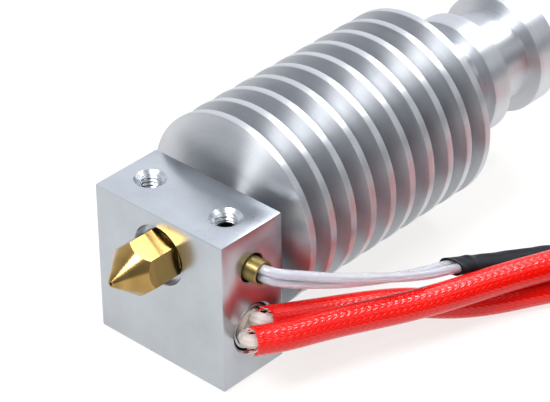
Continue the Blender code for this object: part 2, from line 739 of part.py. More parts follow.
def main():
    clear_scene()
    looks = make_materials()
    frame = add_frame()
    add_block(looks, frame)
    add_nozzle(looks, frame)
    add_filament_path(looks, frame)
    add_heatsink(looks, frame)
    add_push_fit(looks, frame)
    add_heater(looks, frame)
    add_thermistor(looks, frame)
    add_screws(looks, frame)
    add_heater_leads(looks)
    add_sensor_leads(looks)
    add_ties(looks)


main()
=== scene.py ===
import math

import bmesh
import bpy
import numpy as np
from mathutils import Matrix, Vector


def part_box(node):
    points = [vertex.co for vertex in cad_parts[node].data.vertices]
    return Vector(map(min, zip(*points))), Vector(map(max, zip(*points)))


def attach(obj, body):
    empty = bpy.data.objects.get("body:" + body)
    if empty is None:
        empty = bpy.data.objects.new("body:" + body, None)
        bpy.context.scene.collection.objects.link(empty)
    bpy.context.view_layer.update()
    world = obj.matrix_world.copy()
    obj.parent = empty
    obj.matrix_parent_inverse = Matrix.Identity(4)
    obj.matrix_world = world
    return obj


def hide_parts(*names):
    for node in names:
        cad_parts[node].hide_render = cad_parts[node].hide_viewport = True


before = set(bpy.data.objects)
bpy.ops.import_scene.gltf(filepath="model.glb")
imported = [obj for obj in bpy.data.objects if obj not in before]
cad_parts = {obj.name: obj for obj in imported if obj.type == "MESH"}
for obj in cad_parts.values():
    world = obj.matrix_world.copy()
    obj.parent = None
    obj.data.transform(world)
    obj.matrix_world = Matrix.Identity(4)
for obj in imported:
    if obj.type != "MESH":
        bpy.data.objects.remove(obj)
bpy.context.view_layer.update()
MM = 0.001
rng = np.random.default_rng(7)

# ---- places, from the CAD, in millimetres
def box_mm(node):
    low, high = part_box(node)
    return np.array(low) / MM, np.array(high) / MM


BLOCK_LOW, BLOCK_HIGH = box_mm("heater_block")
SINK_LOW, SINK_HIGH = box_mm("heatsink")
AXIS_Z = (SINK_LOW[2] + SINK_HIGH[2]) / 2
FACE_Y = BLOCK_LOW[1]
HALF_BLOCK = 5.0  # half of the block's depth along the axis
AXIS = np.array([0.0, FACE_Y, AXIS_Z])  # on the hotend's axis, at the block's nozzle face
HEATER = np.array([0.0, FACE_Y + HALF_BLOCK, AXIS_Z - 8.0])
SENSOR = np.array([0.0, FACE_Y + HALF_BLOCK, AXIS_Z + 0.3])
SCREW_SIDE = 6.0  # how far the clamping screws are from the axis
THREAD_PITCH = 1.0  # M6, on the nozzle and the heat break
FINE_PITCH = 0.5  # M3, for the clamping screws
FINS, FIN_PITCH, FIN_START, FIN_THICK = 10, 3.5, 12.1, 1.0
COIL_MIDDLE = 20.4  # the coils' mean radius
PIN_SPACING = 2.54  # between the connector's ways


def coil_place(node):
    """The middle of a coil, and the height of its underside."""
    low, high = box_mm(node)
    return (low + high) / 2, low[2]


def placed(name, data):
    """A new object in the scene."""
    obj = bpy.data.objects.new(name, data)
    bpy.context.collection.objects.link(obj)
    return obj


# ---- camera
def make_camera():
    data = bpy.data.cameras.new("camera")
    data.sensor_width = 36.0
    data.lens = 181.2
    data.clip_start = 0.01
    camera = placed("camera", data)
    forward = Vector((-0.5678, 0.6079, -0.5551)).normalized()
    up = Vector((-0.3699, 0.4140, 0.8318))
    right = forward.cross(up).normalized()
    up = right.cross(forward)
    turn = Matrix((right, up, -forward)).transposed()
    camera.matrix_world = Matrix.Translation((0.18655, -0.20964, 0.19467)) @ turn.to_4x4()
    bpy.context.scene.camera = camera


# ---- node helpers for looks
class Look:
    """A material under construction: its Principled shader and short ways to feed it."""

    def __init__(self, name):
        self.name = name  # the material's own name gets a number if the CAD has one like it
        self.material = bpy.data.materials.new(name)
        self.material.use_nodes = True
        self.nodes = self.material.node_tree.nodes
        self.links = self.material.node_tree.links
        self.shader = self.nodes["Principled BSDF"]
        self.coords = self.nodes.new("ShaderNodeTexCoord")

    def feed(self, socket, value):
        """Gives a socket another node's output, or a number, or a colour."""
        if isinstance(value, bpy.types.NodeSocket):
            self.links.new(value, socket)
        else:
            socket.default_value = (*value, 1.0) if isinstance(value, tuple) else value

    def set(self, **values):
        for key, value in values.items():
            name = key.replace("_", " ").title().replace("Ior", "IOR")
            self.feed(self.shader.inputs[name], value)
        return self

    def link(self, output, name):
        self.links.new(output, self.shader.inputs[name])

    def add(self, kind, **inputs):
        node = self.nodes.new(kind)
        for key, value in inputs.items():
            self.feed(node.inputs[key], value)
        return node

    def math(self, operation, a, b=0.0):
        node = self.nodes.new("ShaderNodeMath")
        node.operation = operation
        self.feed(node.inputs[0], a)
        self.feed(node.inputs[1], b)
        return node.outputs[0]

    def scaled(self, scale):
        node = self.nodes.new("ShaderNodeMapping")
        node.inputs["Scale"].default_value = scale
        self.links.new(self.coords.outputs["Object"], node.inputs["Vector"])
        return node.outputs[0]

    def noise(self, scale, detail=4.0, rough=0.55, vector=None):
        node = self.nodes.new("ShaderNodeTexNoise")
        node.inputs["Scale"].default_value = 1.0
        node.inputs["Detail"].default_value = detail
        node.inputs["Roughness"].default_value = rough
        if vector is None:
            vector = self.scaled(scale if isinstance(scale, tuple) else (scale,) * 3)
        self.links.new(vector, node.inputs["Vector"])
        return node.outputs["Fac"]

    def span(self, value, low, high, out_low, out_high):
        node = self.nodes.new("ShaderNodeMapRange")
        self.links.new(value, node.inputs["Value"])
        for key, number in zip(
            ("From Min", "From Max", "To Min", "To Max"), (low, high, out_low, out_high)
        ):
            node.inputs[key].default_value = number
        return node.outputs[0]

    def mix(self, factor, one, other):
        node = self.nodes.new("ShaderNodeMix")
        node.data_type = "RGBA"
        for key, value in ((0, factor), (6, one), (7, other)):
            self.feed(node.inputs[key], value)
        return node.outputs[2]

    def bump(self, height, distance):
        node = self.nodes.new("ShaderNodeBump")
        node.inputs["Strength"].default_value = 1.0
        node.inputs["Distance"].default_value = distance
        self.links.new(height, node.inputs["Height"])
        self.link(node.outputs[0], "Normal")
        return self


def metal(name, color, dark, rough=(0.25, 0.4), grain=900.0, bump=4e-6, stretch=(1, 1, 1)):
    """Bare metal with cloudy tone, uneven polish and a fine grain."""
    look = Look(name).set(metallic=1.0)
    cloud = look.noise(grain * 0.12)
    fine = look.noise(tuple(grain * s for s in stretch), 6.0, 0.6)
    look.link(look.mix(look.span(cloud, 0.3, 0.7, 0, 1), dark, color), "Base Color")
    polish = look.math("ADD", look.math("MULTIPLY", cloud, 0.5), look.math("MULTIPLY", fine, 0.5))
    look.link(look.span(polish, 0.3, 0.7, *rough), "Roughness")
    return look.bump(fine, bump)


def turned_metal(name, color, dark, rough, axis="Y", marks=5200.0, aniso=0.6, bump=2.5e-6):
    """Metal turned on a lathe: marks run round the axis, and highlights spread across them."""
    look = Look(name).set(metallic=1.0, anisotropic=aniso, anisotropic_rotation=0.25)
    parts = look.add("ShaderNodeSeparateXYZ", Vector=look.coords.outputs["Object"])
    x, y, z = parts.outputs
    along, across = {"Y": (y, (x, z)), "X": (x, (y, z)), "Z": (z, (x, y))}[axis]
    squares = [look.math("MULTIPLY", a, a) for a in across]
    radius = look.math("SQRT", look.math("ADD", *squares))
    rings = look.add("ShaderNodeCombineXYZ", X=radius, Y=along)

    def ring_noise(scale, detail, rough):
        scaled = look.add("ShaderNodeVectorMath", Vector=rings.outputs[0])
        scaled.operation = "SCALE"
        scaled.inputs["Scale"].default_value = scale
        return look.noise(1, detail, rough, scaled.outputs[0])

    fine = ring_noise(marks, 3.0, 0.6)
    bands = ring_noise(marks * 0.13, 2.0, 0.5)
    cloud = look.noise(160.0, 4.0)
    tone = look.math("ADD", look.math("MULTIPLY", bands, 0.5), look.math("MULTIPLY", cloud, 0.5))
    look.link(look.mix(look.span(tone, 0.35, 0.65, 0, 1), dark, color), "Base Color")
    polish = look.math("ADD", look.math("MULTIPLY", fine, 0.6), look.math("MULTIPLY", cloud, 0.4))
    look.link(look.span(polish, 0.3, 0.7, *rough), "Roughness")
    tangent = look.nodes.new("ShaderNodeTangent")
    tangent.direction_type = "RADIAL"
    tangent.axis = axis
    look.link(tangent.outputs[0], "Tangent")
    return look.bump(fine, bump)


def plastic(name, color, dark, rough=(0.3, 0.45), grain=700.0, bump=6e-6, **more):
    look = Look(name).set(**more)
    cloud = look.noise(grain * 0.2)
    fine = look.noise(grain, 6.0, 0.6)
    look.link(look.mix(look.span(cloud, 0.3, 0.7, 0, 1), dark, color), "Base Color")
    look.link(look.span(fine, 0.3, 0.7, *rough), "Roughness")
    return look.bump(fine, bump)


def braid(name, color, dark, pitch=0.9, columns=22, slant=0.62, relief=3.6e-5, **more):
    """Braided and varnished sleeving: columns of slanting strands that lean to and fro.

    The UV map runs along it in centimetres and once round it.
    """
    look = Look(name).set(**more)
    parts = look.add("ShaderNodeSeparateXYZ", Vector=look.coords.outputs["UV"])
    along = look.math("MULTIPLY", parts.outputs[0], 10.0 / pitch)
    around = look.math("MULTIPLY", parts.outputs[1], float(columns))
    lean = look.math("MULTIPLY", look.math("PINGPONG", around, 1.0), slant)
    phase = look.math("MULTIPLY", look.math("ADD", along, lean), math.pi)
    ridge = look.math("ABSOLUTE", look.math("SINE", phase))
    crown = look.math("ABSOLUTE", look.math("SINE", look.math("MULTIPLY", around, math.pi)))
    crown = look.math("ADD", look.math("MULTIPLY", crown, 0.5), 0.5)
    height = look.math("MULTIPLY", look.math("POWER", ridge, 0.7), crown)
    grit = look.noise(2500.0, 3.0)
    cloud = look.noise(300.0, 4.0)
    # Base colour follows the braid's height: painted shade in the grooves between strands and
    # columns, lighter on the crowns; the cloud adds random tone.
    tone = look.math("ADD", look.math("MULTIPLY", height, 0.5), look.math("MULTIPLY", cloud, 0.6))
    look.link(look.mix(look.span(tone, 0.3, 0.9, 0, 1), dark, color), "Base Color")
    look.link(look.span(grit, 0.3, 0.7, 0.13, 0.20), "Roughness")
    height = look.math("ADD", height, look.math("MULTIPLY", grit, 0.12))
    return look.bump(height, relief)


def make_looks():
    looks = [
        metal(
            "block", (0.49, 0.522, 0.556), (0.43, 0.458, 0.495), (0.25, 0.35), 1500.0, 4e-6,
            (1, 1, 0.35),
        ),
        turned_metal(
            "heatsink", (0.68, 0.70, 0.73), (0.58, 0.60, 0.63), (0.42, 0.50), aniso=0.9,
            bump=1.2e-6,
        ),
        turned_metal(
            "nozzle_brass", (0.46, 0.30, 0.105), (0.30, 0.19, 0.06), (0.16, 0.26), aniso=0.3,
        ),
        turned_metal("insert_brass", (0.74, 0.53, 0.20), (0.62, 0.42, 0.14), (0.16, 0.3)),
        turned_metal("capsule_brass", (0.36, 0.28, 0.11), (0.27, 0.20, 0.07), (0.34, 0.48), "X"),
        turned_metal("steel", (0.52, 0.52, 0.53), (0.40, 0.40, 0.42), (0.22, 0.38)),
        metal("black_steel", (0.045, 0.045, 0.05), (0.02, 0.02, 0.022), (0.3, 0.5)),
        plastic(
            "liner_ptfe", (0.86, 0.87, 0.88), (0.78, 0.79, 0.80), (0.35, 0.5),
            subsurface_weight=0.2,
        ),
        plastic(
            "clear_ptfe", (0.97, 0.975, 1.0), (0.88, 0.90, 1.0), (0.08, 0.16), 500.0, 3e-6,
            transmission_weight=0.72, ior=1.35,
        ),
        metal("sensor_wire", (0.36, 0.37, 0.42), (0.26, 0.27, 0.32), (0.3, 0.45)),
        braid("red_sleeve", (0.76, 0.006, 0.002), (0.60, 0.003, 0.001), specular_ior_level=0.42),
        plastic("glass_fibre", (0.64, 0.585, 0.55), (0.46, 0.38, 0.35), (0.6, 0.85), 2500.0, 3e-5),
        plastic("ceramic", (0.82, 0.78, 0.70), (0.62, 0.55, 0.46), (0.6, 0.85), 1200.0, 3e-5),
        metal("nichrome", (0.32, 0.29, 0.27), (0.20, 0.18, 0.17), (0.35, 0.5)),
        plastic(
            "bead_glass", (0.22, 0.07, 0.03), (0.12, 0.04, 0.02), (0.05, 0.12),
            transmission_weight=0.3,
        ),
        plastic(
            "heat_shrink", (0.010, 0.012, 0.016), (0.005, 0.006, 0.008), (0.34, 0.46), 900.0, 1e-5,
            specular_ior_level=0.12,
        ),
        plastic("white_wire", (0.60, 0.60, 0.585), (0.52, 0.52, 0.505), (0.3, 0.45)),
        plastic(
            "black_plastic", (0.016, 0.016, 0.018), (0.009, 0.009, 0.010), (0.35, 0.5), 1500.0,
            8e-6,
        ),
        metal("tinned", (0.66, 0.65, 0.62), (0.50, 0.49, 0.47), (0.2, 0.35)),
        plastic("ferrule_collar", (0.58, 0.58, 0.55), (0.50, 0.50, 0.47)),
        plastic("tie_nylon", (0.56, 0.56, 0.51), (0.48, 0.48, 0.43), subsurface_weight=0.15),
    ]
    return {look.name: look.material for look in looks}


# ---- mesh helpers, all in millimetres
def circle(sides):
    """The angles of the corners of a regular shape."""
    return np.linspace(0, 2 * math.pi, sides, endpoint=False)


def metres(point):
    return [float(c) * MM for c in point]


def grid_mesh(points, angle, wrap_rows=False, uv=None):
    """A mesh from a grid of points, closed round its columns, and round its rows if asked."""
    rows, cols = points.shape[:2]
    i = np.arange(rows if wrap_rows else rows - 1)
    j = np.arange(cols)
    i, j = (a.ravel() for a in np.meshgrid(i, j, indexing="ij"))
    i2, j2 = (i + 1) % rows, (j + 1) % cols
    quads = np.stack([i * cols + j, i * cols + j2, i2 * cols + j2, i2 * cols + j], axis=1)
    mesh = bpy.data.meshes.new("mesh")
    mesh.vertices.add(rows * cols)
    mesh.vertices.foreach_set("co", (points.reshape(-1) * MM).astype(np.float32))
    mesh.loops.add(quads.size)
    mesh.loops.foreach_set("vertex_index", quads.ravel().astype(np.int32))
    mesh.polygons.add(len(quads))
    mesh.polygons.foreach_set("loop_start", np.arange(0, quads.size, 4, dtype=np.int32))
    if uv is not None:
        u, v = uv
        corner_u = np.stack([u[i], u[i], u[(i + 1) % len(u)], u[(i + 1) % len(u)]], axis=1)
        corner_v = np.stack([v[j], v[j + 1], v[j + 1], v[j]], axis=1)
        layer = mesh.uv_layers.new(name="along")
        corners = np.stack([corner_u, corner_v], axis=2)
        layer.uv.foreach_set("vector", corners.ravel().astype(np.float32))
    mesh.update()
    return finished(mesh, angle)


def finished(mesh, angle):
    """Welds, drops empty faces, turns the faces outwards and shades the mesh."""
    shape = bmesh.new()
    shape.from_mesh(mesh)
    bmesh.ops.remove_doubles(shape, verts=shape.verts, dist=2e-8)
    bmesh.ops.dissolve_degenerate(shape, edges=shape.edges, dist=1e-8)
    bmesh.ops.recalc_face_normals(shape, faces=shape.faces)
    shape.to_mesh(mesh)
    shape.free()
    return shaded(mesh, angle)


def shaded(mesh, angle):
    mesh.shade_smooth()
    mesh.set_sharp_from_angle(angle=math.radians(angle))
    return mesh


def rounded(profile, radius=0.1, steps=3, closed=True):
    """The outline with each corner rounded."""
    points = [np.array(p[:2], float) for p in profile]
    radii = [p[2] if len(p) > 2 else radius for p in profile]
    count, out = len(points), []
    for k in range(count):
        here = points[k]
        if (not closed and k in (0, count - 1)) or radii[k] <= 0 or here[0] <= 1e-9:
            out.append(here)
            continue
        before, after = points[k - 1] - here, points[(k + 1) % count] - here
        room = 0.45 * min(np.linalg.norm(before), np.linalg.norm(after))
        before, after = before / np.linalg.norm(before), after / np.linalg.norm(after)
        half = math.acos(max(-1.0, min(1.0, float(before @ after)))) / 2
        if half > 1.5:
            out.append(here)
            continue
        reach = min(room, radii[k] / math.tan(half))
        start, end = here + before * reach, here + after * reach
        for t in np.linspace(0, 1, steps + 1):
            out.append((1 - t) ** 2 * start + 2 * t * (1 - t) * here + t**2 * end)
    return np.array(out)


def turned(profile, axis="Y", sides=96, closed=True, swell=None):
    """Turns an outline of (radius, height) round an axis. swell adds to the radius."""
    profile = np.asarray(profile, float)
    turn = circle(sides)
    radius = np.repeat(profile[:, :1], sides, axis=1)
    height = np.repeat(profile[:, 1:2], sides, axis=1)
    if swell is not None:
        radius = np.where(radius > 1e-9, radius + swell(turn[None, :], height, radius), radius)
    one, other = radius * np.cos(turn), radius * np.sin(turn)
    order = {"Y": (one, height, other), "X": (height, one, other), "Z": (one, other, height)}[axis]
    return grid_mesh(np.stack(order, axis=2), wrap_rows=closed, angle=30.0)


def thread(pitch, depth, start, end, inner, outer):
    """A swell that cuts a screw thread between two heights, where the radius is in a range."""

    def swell(turn, height, radius):
        phase = (height / pitch - turn / (2 * math.pi)) % 1.0
        groove = np.abs(2 * phase - 1)
        fade = np.clip(np.minimum(height - start, end - height) / (0.5 * pitch), 0, 1)
        return -depth * groove * fade * ((radius > inner) & (radius < outer))

    return swell


def fine_line(outline, step):
    """The open outline with points added so that none are further apart than step."""
    out = [np.array(outline[0], float)]
    for a, b in zip(outline, outline[1:]):
        a, b = np.array(a, float), np.array(b, float)
        count = max(1, math.ceil(np.linalg.norm(b - a) / step))
        out += [a + (b - a) * k / count for k in range(1, count + 1)]
    return np.array(out)


def add(name, mesh, look, body="hotend", nodes=(), slot=None, origin=(0, 0, 0), turn=None):
    """A finished piece: placed, riding its body, in the place of its CAD nodes."""
    mesh.name = name
    obj = placed(name, mesh)
    obj.location = metres(origin)
    if turn is not None:
        obj.matrix_world = Matrix.Translation(obj.location) @ turn.to_4x4()
    if not obj.data.materials:
        obj.data.materials.append(LOOKS[look])
    bpy.context.view_layer.update()
    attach(obj, body)
    if nodes:
        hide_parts(*nodes)
    return obj


def apply_modifiers(obj):
    bpy.context.view_layer.update()
    graph = bpy.context.evaluated_depsgraph_get()
    mesh = bpy.data.meshes.new_from_object(obj.evaluated_get(graph))
    obj.modifiers.clear()
    obj.data = mesh


def carve(obj, cutters, operation="DIFFERENCE"):
    """Cuts the objects out of obj for good, and removes them."""
    for cutter in cutters:
        modifier = obj.modifiers.new("carve", "BOOLEAN")
        modifier.operation, modifier.solver, modifier.object = operation, "EXACT", cutter
    apply_modifiers(obj)
    for cutter in cutters:
        bpy.data.objects.remove(cutter, do_unlink=True)


def taken(obj, angle):
    """The mesh of a helper object, shaded. The object goes."""
    mesh = shaded(obj.data, angle)
    bpy.data.objects.remove(obj)
    return mesh


def soften(obj, width, segments=2, limit=25.0):
    modifier = obj.modifiers.new("soften", "BEVEL")
    modifier.width, modifier.segments = width * MM, segments
    modifier.limit_method, modifier.angle_limit = "ANGLE", math.radians(limit)
    modifier.use_clamp_overlap = True
    modifier.harden_normals = False
    apply_modifiers(obj)
    shaded(obj.data, 28.0)


def loose(mesh, origin=(0, 0, 0)):
    """A helper object for carving."""
    obj = placed("helper", mesh)
    obj.location = metres(origin)
    return obj


def mesh_of(shape):
    mesh = bpy.data.meshes.new("mesh")
    shape.to_mesh(mesh)
    shape.free()
    return mesh


def box(low, high):
    shape = bmesh.new()
    bmesh.ops.create_cube(shape, size=1.0)
    size = [(b - a) * MM for a, b in zip(low, high)]
    bmesh.ops.scale(shape, vec=size, verts=shape.verts)
    bmesh.ops.translate(shape, vec=[(a + b) / 2 * MM for a, b in zip(low, high)], verts=shape.verts)
    return mesh_of(shape)


# ---- paths and tubes
def unit(rows):
    return rows / np.linalg.norm(rows, axis=-1, keepdims=True)


def distances(path):
    """How far along the path each of its points is."""
    return np.concatenate([[0], np.cumsum(np.linalg.norm(np.diff(path, axis=0), axis=1))])


def spline(points, step):
    """Points evenly spaced, about step apart, on the smooth curve through the given ones."""
    points = np.asarray(points, float)
    lengths = np.linalg.norm(np.diff(points, axis=0), axis=1)
    knots = distances(points)
    count = len(points)
    system, bends = np.eye(count), np.zeros((count, 3))
    for i in range(1, count - 1):
        before, after = lengths[i - 1], lengths[i]
        system[i, i - 1 : i + 2] = before, 2 * (before + after), after
        rise = (points[i + 1] - points[i]) / after - (points[i] - points[i - 1]) / before
        bends[i] = 6 * rise
    curve = np.linalg.solve(system, bends)

    def at(where):
        i = np.clip(np.searchsorted(knots, where, side="right") - 1, 0, count - 2)
        span = lengths[i][:, None]
        t = ((where - knots[i]) / lengths[i])[:, None]
        sag = ((1 - t) ** 3 - (1 - t)) * curve[i] + (t**3 - t) * curve[i + 1]
        return (1 - t) * points[i] + t * points[i + 1] + sag * span**2 / 6

    dense = at(np.linspace(0, knots[-1], int(knots[-1] / 0.1) + 2))
    run = distances(dense)
    wanted = np.linspace(0, run[-1], max(3, round(run[-1] / step) + 1))
    return np.column_stack([np.interp(wanted, run, dense[:, k]) for k in range(3)])


def path_length(path):
    return float(np.linalg.norm(np.diff(path, axis=0), axis=1).sum())


def thinned(path, keep):
    """The path with only every so many points kept where keep(distance) says more than one."""
    run = distances(path)
    chosen, last = [0], 0.0
    for k in range(1, len(path) - 1):
        if run[k] - last >= keep(run[k]) - 1e-6:
            chosen.append(k)
            last = run[k]
    chosen.append(len(path) - 1)
    return path[chosen], run[chosen]


def frames(path):
    """Directions along a path and two across it that don't twist."""
    along = unit(np.gradient(path, axis=0))
    first = np.cross(along[0], (0, 0, 1))
    side = [first / np.linalg.norm(first)]
    for k in range(1, len(path)):
        moved = side[-1] - along[k] * (side[-1] @ along[k])
        side.append(moved / np.linalg.norm(moved))
    side = np.array(side)
    return along, side, np.cross(along, side)


def tube_rows(path, radii, sides, relief=None):
    """Rings of points round a path."""
    _, side, up = frames(path)
    turn = circle(sides)
    radii = np.broadcast_to(np.asarray(radii, float).reshape(-1, 1), (len(path), sides)).copy()
    if relief is not None:
        radii += relief(turn)
    cosine, sine = (wave(turn)[None, :, None] for wave in (np.cos, np.sin))
    return path[:, None] + radii[..., None] * (cosine * side[:, None] + sine * up[:, None])


def tube_mesh(path, radii, sides, run=None, relief=None, bore=0.0, depth=0.0):
    """A tube along the path. bore and depth make its first end hollow."""
    rows = tube_rows(path, radii, sides, relief)
    if run is None:
        run = distances(path)
    middle = path[0]
    if bore > 0:
        shape = unit(rows[0] - middle)
        deep = middle + unit(np.gradient(path, axis=0))[0] * depth
        lead = [np.repeat(deep[None], sides, 0), deep + shape * bore, middle + shape * bore]
        lead_run = [-depth - 1.5, -depth, -0.4]
    else:
        lead, lead_run = [np.repeat(middle[None], sides, 0)], [-0.5]
    rows = np.concatenate([np.array(lead), rows, np.repeat(path[-1][None, None], sides, 1)])
    u = np.concatenate([lead_run, run, [run[-1] + 0.5]]) / 10.0
    v = np.linspace(0, 1, sides + 1)
    return grid_mesh(rows, uv=(u, v), angle=40.0)


# ---- cord routes, in millimetres in the row frame
LEAD_ROUTES = {
    "a": [
        (13.4, -28.1, 8.3), (14.8, -25.1, 8.0), (16.0, -21.3, 7.6), (18.0, -14.8, 6.75),
        (19.7, -10.1, 6.2), (22.5, -1.9, 5.65), (24.4, 3.7, 5.5), (26.8, 9.0, 5.6),
        (29.4, 13.4, 6.1), (33.2, 17.7, 7.0), (38.6, 21.4, 8.2), (44.5, 25.3, 9.2),
    ],
    "b": [
        (11.6, -24.1, 8.15), (12.1, -20.7, 6.95), (13.2, -14.9, 5.2), (15.3, -9.4, 4.15),
        (17.2, -5.0, 3.05), (19.5, -1.4, 2.1), (22.7, 2.8, 1.88), (25.3, 7.3, 1.88),
        (28.8, 13.0, 1.88), (33.2, 17.7, 1.95), (38.6, 21.4, 2.2), (44.5, 25.3, 2.55),
    ],
}
LEAD_TAILS = {
    "a": [
        (87.1, -10.4, 12.6), (84.9, -16.9, 9.6), (81.2, -21.8, 5.6), (77.4, -24.3, 2.8),
        (74.0, -25.5, 1.8), (70.4, -26.2, 1.75),
    ],
    "b": [
        (88.7, -8.4, 5.6), (87.9, -15.0, 3.4), (86.0, -21.0, 1.9), (82.8, -25.8, 1.75),
        (79.0, -28.6, 1.75), (75.6, -29.9, 1.75),
    ],
}
SLEEVE_ROUTE = [
    (11.2, -24.5, 14.9), (12.4, -24.2, 14.8), (14.5, -21.6, 13.9), (16.8, -17.3, 12.55),
    (18.3, -12.4, 10.95), (19.15, -8.6, 9.7), (19.6, -4.6, 8.4), (19.9, -0.75, 7.3),
    (20.35, 2.4, 6.27),
]
SPLICE_ROUTE = [
    (19.9, -0.75, 7.3), (20.4, 2.6, 6.2), (21.2, 4.8, 5.75), (22.2, 7.1, 5.4), (23.4, 9.4, 5.2),
    (24.4, 11.2, 5.1), (25.0, 12.4, 5.05),
]
WIRE_ROUTE = [
    (22.2, 7.1, 5.4), (23.4, 9.4, 5.2), (24.4, 11.2, 5.1), (25.6, 13.6, 5.4), (27.8, 17.4, 8.0),
    (30.8, 20.6, 11.2), (34.2, 23.4, 13.6), (38.4, 25.8, 15.2), (42.9, 27.2, 15.85),
    (50.5, 29.2, 15.85),
]
WIRE_TAIL = [
    (90.4, 0.4, 17.05), (91.2, -5.0, 16.4), (91.5, -10.0, 13.6), (91.3, -14.2, 9.0),
    (90.8, -17.8, 4.5), (90.4, -21.0, 1.7), (90.2, -23.6, 1.3), (90.1, -25.9, 1.3),
]


def coil_points(middle, radii, heights, enter, leave):
    """Points round a coil, clockwise from above. Each turn has a radius and a height."""
    out = []
    turns = len(radii)
    last = (enter - leave) % 360.0
    window = 60.0
    total = 360.0 * (turns - 1) + last
    for degree in np.arange(0.0, total + 0.01, 12.0):
        turn, part = int(degree // 360), degree % 360.0
        radius, height = radii[turn], heights[turn]
        after = min(turn + 1, turns - 1)
        if radii[after] != radius:
            t = np.clip((part - (360 - window)) / window, 0, 1)
            radius += (radii[after] - radius) * t * t * (3 - 2 * t)
        else:
            t = np.clip((part - (360 - 2 * window)) / window, 0, 1)
            height += (heights[after] - height) * t * t * (3 - 2 * t)
        angle = math.radians(enter - degree)
        x, y = radius * math.cos(angle), radius * math.sin(angle)
        out.append((middle[0] + x, middle[1] + y, height))
    return out


# ---- the heater block and what is in it
def make_block():
    low, high = BLOCK_LOW - AXIS, BLOCK_HIGH - AXIS
    block = loose(box(low, high), AXIS)
    soften(block, 0.22, 2)
    past = 1.0  # how far a cutter goes on past a face
    nozzle_hole = [
        (0, -past), (3.85, -past), (3.85, 0.0), (3.75, 0.12), (3.75, 0.8), (3.05, 0.8),
        (3.05, 2 * HALF_BLOCK + past), (0, 2 * HALF_BLOCK + past),
    ]
    heater_hole = [
        (0, low[0] - past), (3.3, low[0] - past), (3.3, low[0]), (3.05, low[0] + 0.25),
        (3.05, high[0] - 0.25), (3.3, high[0]), (3.3, high[0] + past), (0, high[0] + past),
    ]
    sensor_hole = [
        (0, 3.4), (1.8, 4.2), (1.8, high[0] - 0.12), (1.92, high[0]), (1.92, high[0] + past),
        (0, high[0] + past),
    ]
    carve(block, [
        loose(turned(nozzle_hole, "Y", 128), AXIS),
        loose(turned(heater_hole, "X", 128), HEATER),
        loose(turned(sensor_hole, "X", 96), SENSOR),
    ])
    for side, depth in ((1, 0.5), (-1, -7.0)):
        top = high[2]
        outline = [
            (0, depth), (1.5, depth), (1.5, top - 0.42), (1.98, top), (1.98, top + past),
            (0, top + past),
        ]
        swell = thread(FINE_PITCH, 0.26, depth - 1, top - 0.3, 0.0, 1.55)
        hole = turned(fine_line(outline, 0.07), "Z", 48, swell=swell)
        carve(block, [loose(hole, AXIS + (side * SCREW_SIDE, HALF_BLOCK, 0))])
    mesh = taken(block, 28.0)
    add("heater_block_body", mesh, "block", nodes=["heater_block"], origin=AXIS)


def make_nozzle():
    tip, cone_end, corner = -7.6, -3.75, 3.464
    slope = (corner - 0.42) / (cone_end - tip)
    over = cone_end + 0.4  # the cone goes on past the corners, which the hexagon cuts
    wide = corner + slope * 0.4
    outline = [
        (0.2, tip + 0.02), (0.42, tip), (wide, over, 0), (wide, 0.3, 0),
        (2.95, 0.3), (2.95, 0.55), (2.55, 0.75), (2.95, 1.0), (2.95, 6.9), (2.75, 7.1), (1.0, 7.1),
        (1.0, tip + 2.6), (0.2, tip + 0.9),
    ]
    smooth = rounded([(*p[:2], p[2] if len(p) > 2 else 0.05) for p in outline], 0.05, 2)
    rows = [smooth[0]]
    for a, b in zip(smooth, list(smooth[1:]) + [smooth[0]]):
        if a[0] > 2.9 and b[0] > 2.9 and a[1] > 0.9 and b[1] < 7:
            rows += list(fine_line([a, b], 0.12))[1:]
        else:
            rows.append(b)
    rows = rows[:-1]
    swell = thread(THREAD_PITCH, 0.5, 1.0, 6.9, 2.9, 2.97)
    body = loose(turned(rows, "Y", 192, swell=swell), AXIS)
    shape = bmesh.new()
    ring = []
    for k in range(6):
        angle = math.radians(41.0 + 60 * k)
        point = (corner * math.cos(angle), tip - 1, corner * math.sin(angle))
        ring.append(shape.verts.new([c * MM for c in point]))
    face = shape.faces.new(ring)
    moved = bmesh.ops.extrude_face_region(shape, geom=[face])["geom"]
    verts = [v for v in moved if isinstance(v, bmesh.types.BMVert)]
    bmesh.ops.translate(shape, vec=(0, 9.5 * MM, 0), verts=verts)
    bmesh.ops.recalc_face_normals(shape, faces=shape.faces)
    carve(body, [loose(mesh_of(shape), AXIS)], "INTERSECT")
    mesh = taken(body, 22.0)
    add("nozzle_body", mesh, "nozzle_brass", nodes=["nozzle"], origin=AXIS)


def make_heat_break():
    lower = thread(THREAD_PITCH, 0.45, 7.4, 9.7, 2.75, 3.0)
    upper = thread(THREAD_PITCH, 0.45, 12.7, 33.0, 2.75, 3.0)
    outline = [
        (1.0, 7.3), (2.6, 7.3), (2.8, 7.45), (2.8, 9.6), (2.5, 9.95), (2.5, 12.2), (2.8, 12.6),
        (2.8, 32.8), (2.6, 33.0), (2.3, 33.0), (2.3, 8.4), (1.0, 8.3),
    ]
    line = fine_line(outline + outline[:1], 0.16)[:-1]
    mesh = turned(line, "Y", 72, swell=lambda *place: lower(*place) + upper(*place))
    add("heat_break_body", mesh, "steel", nodes=["heat_break"], origin=AXIS)
    liner = rounded([(1.0, 8.7), (2.0, 8.7), (2.0, 57.6), (1.0, 57.6)], 0.12)
    add("liner_tube", turned(liner, "Y", 72), "liner_ptfe", nodes=["ptfe_liner"], origin=AXIS)


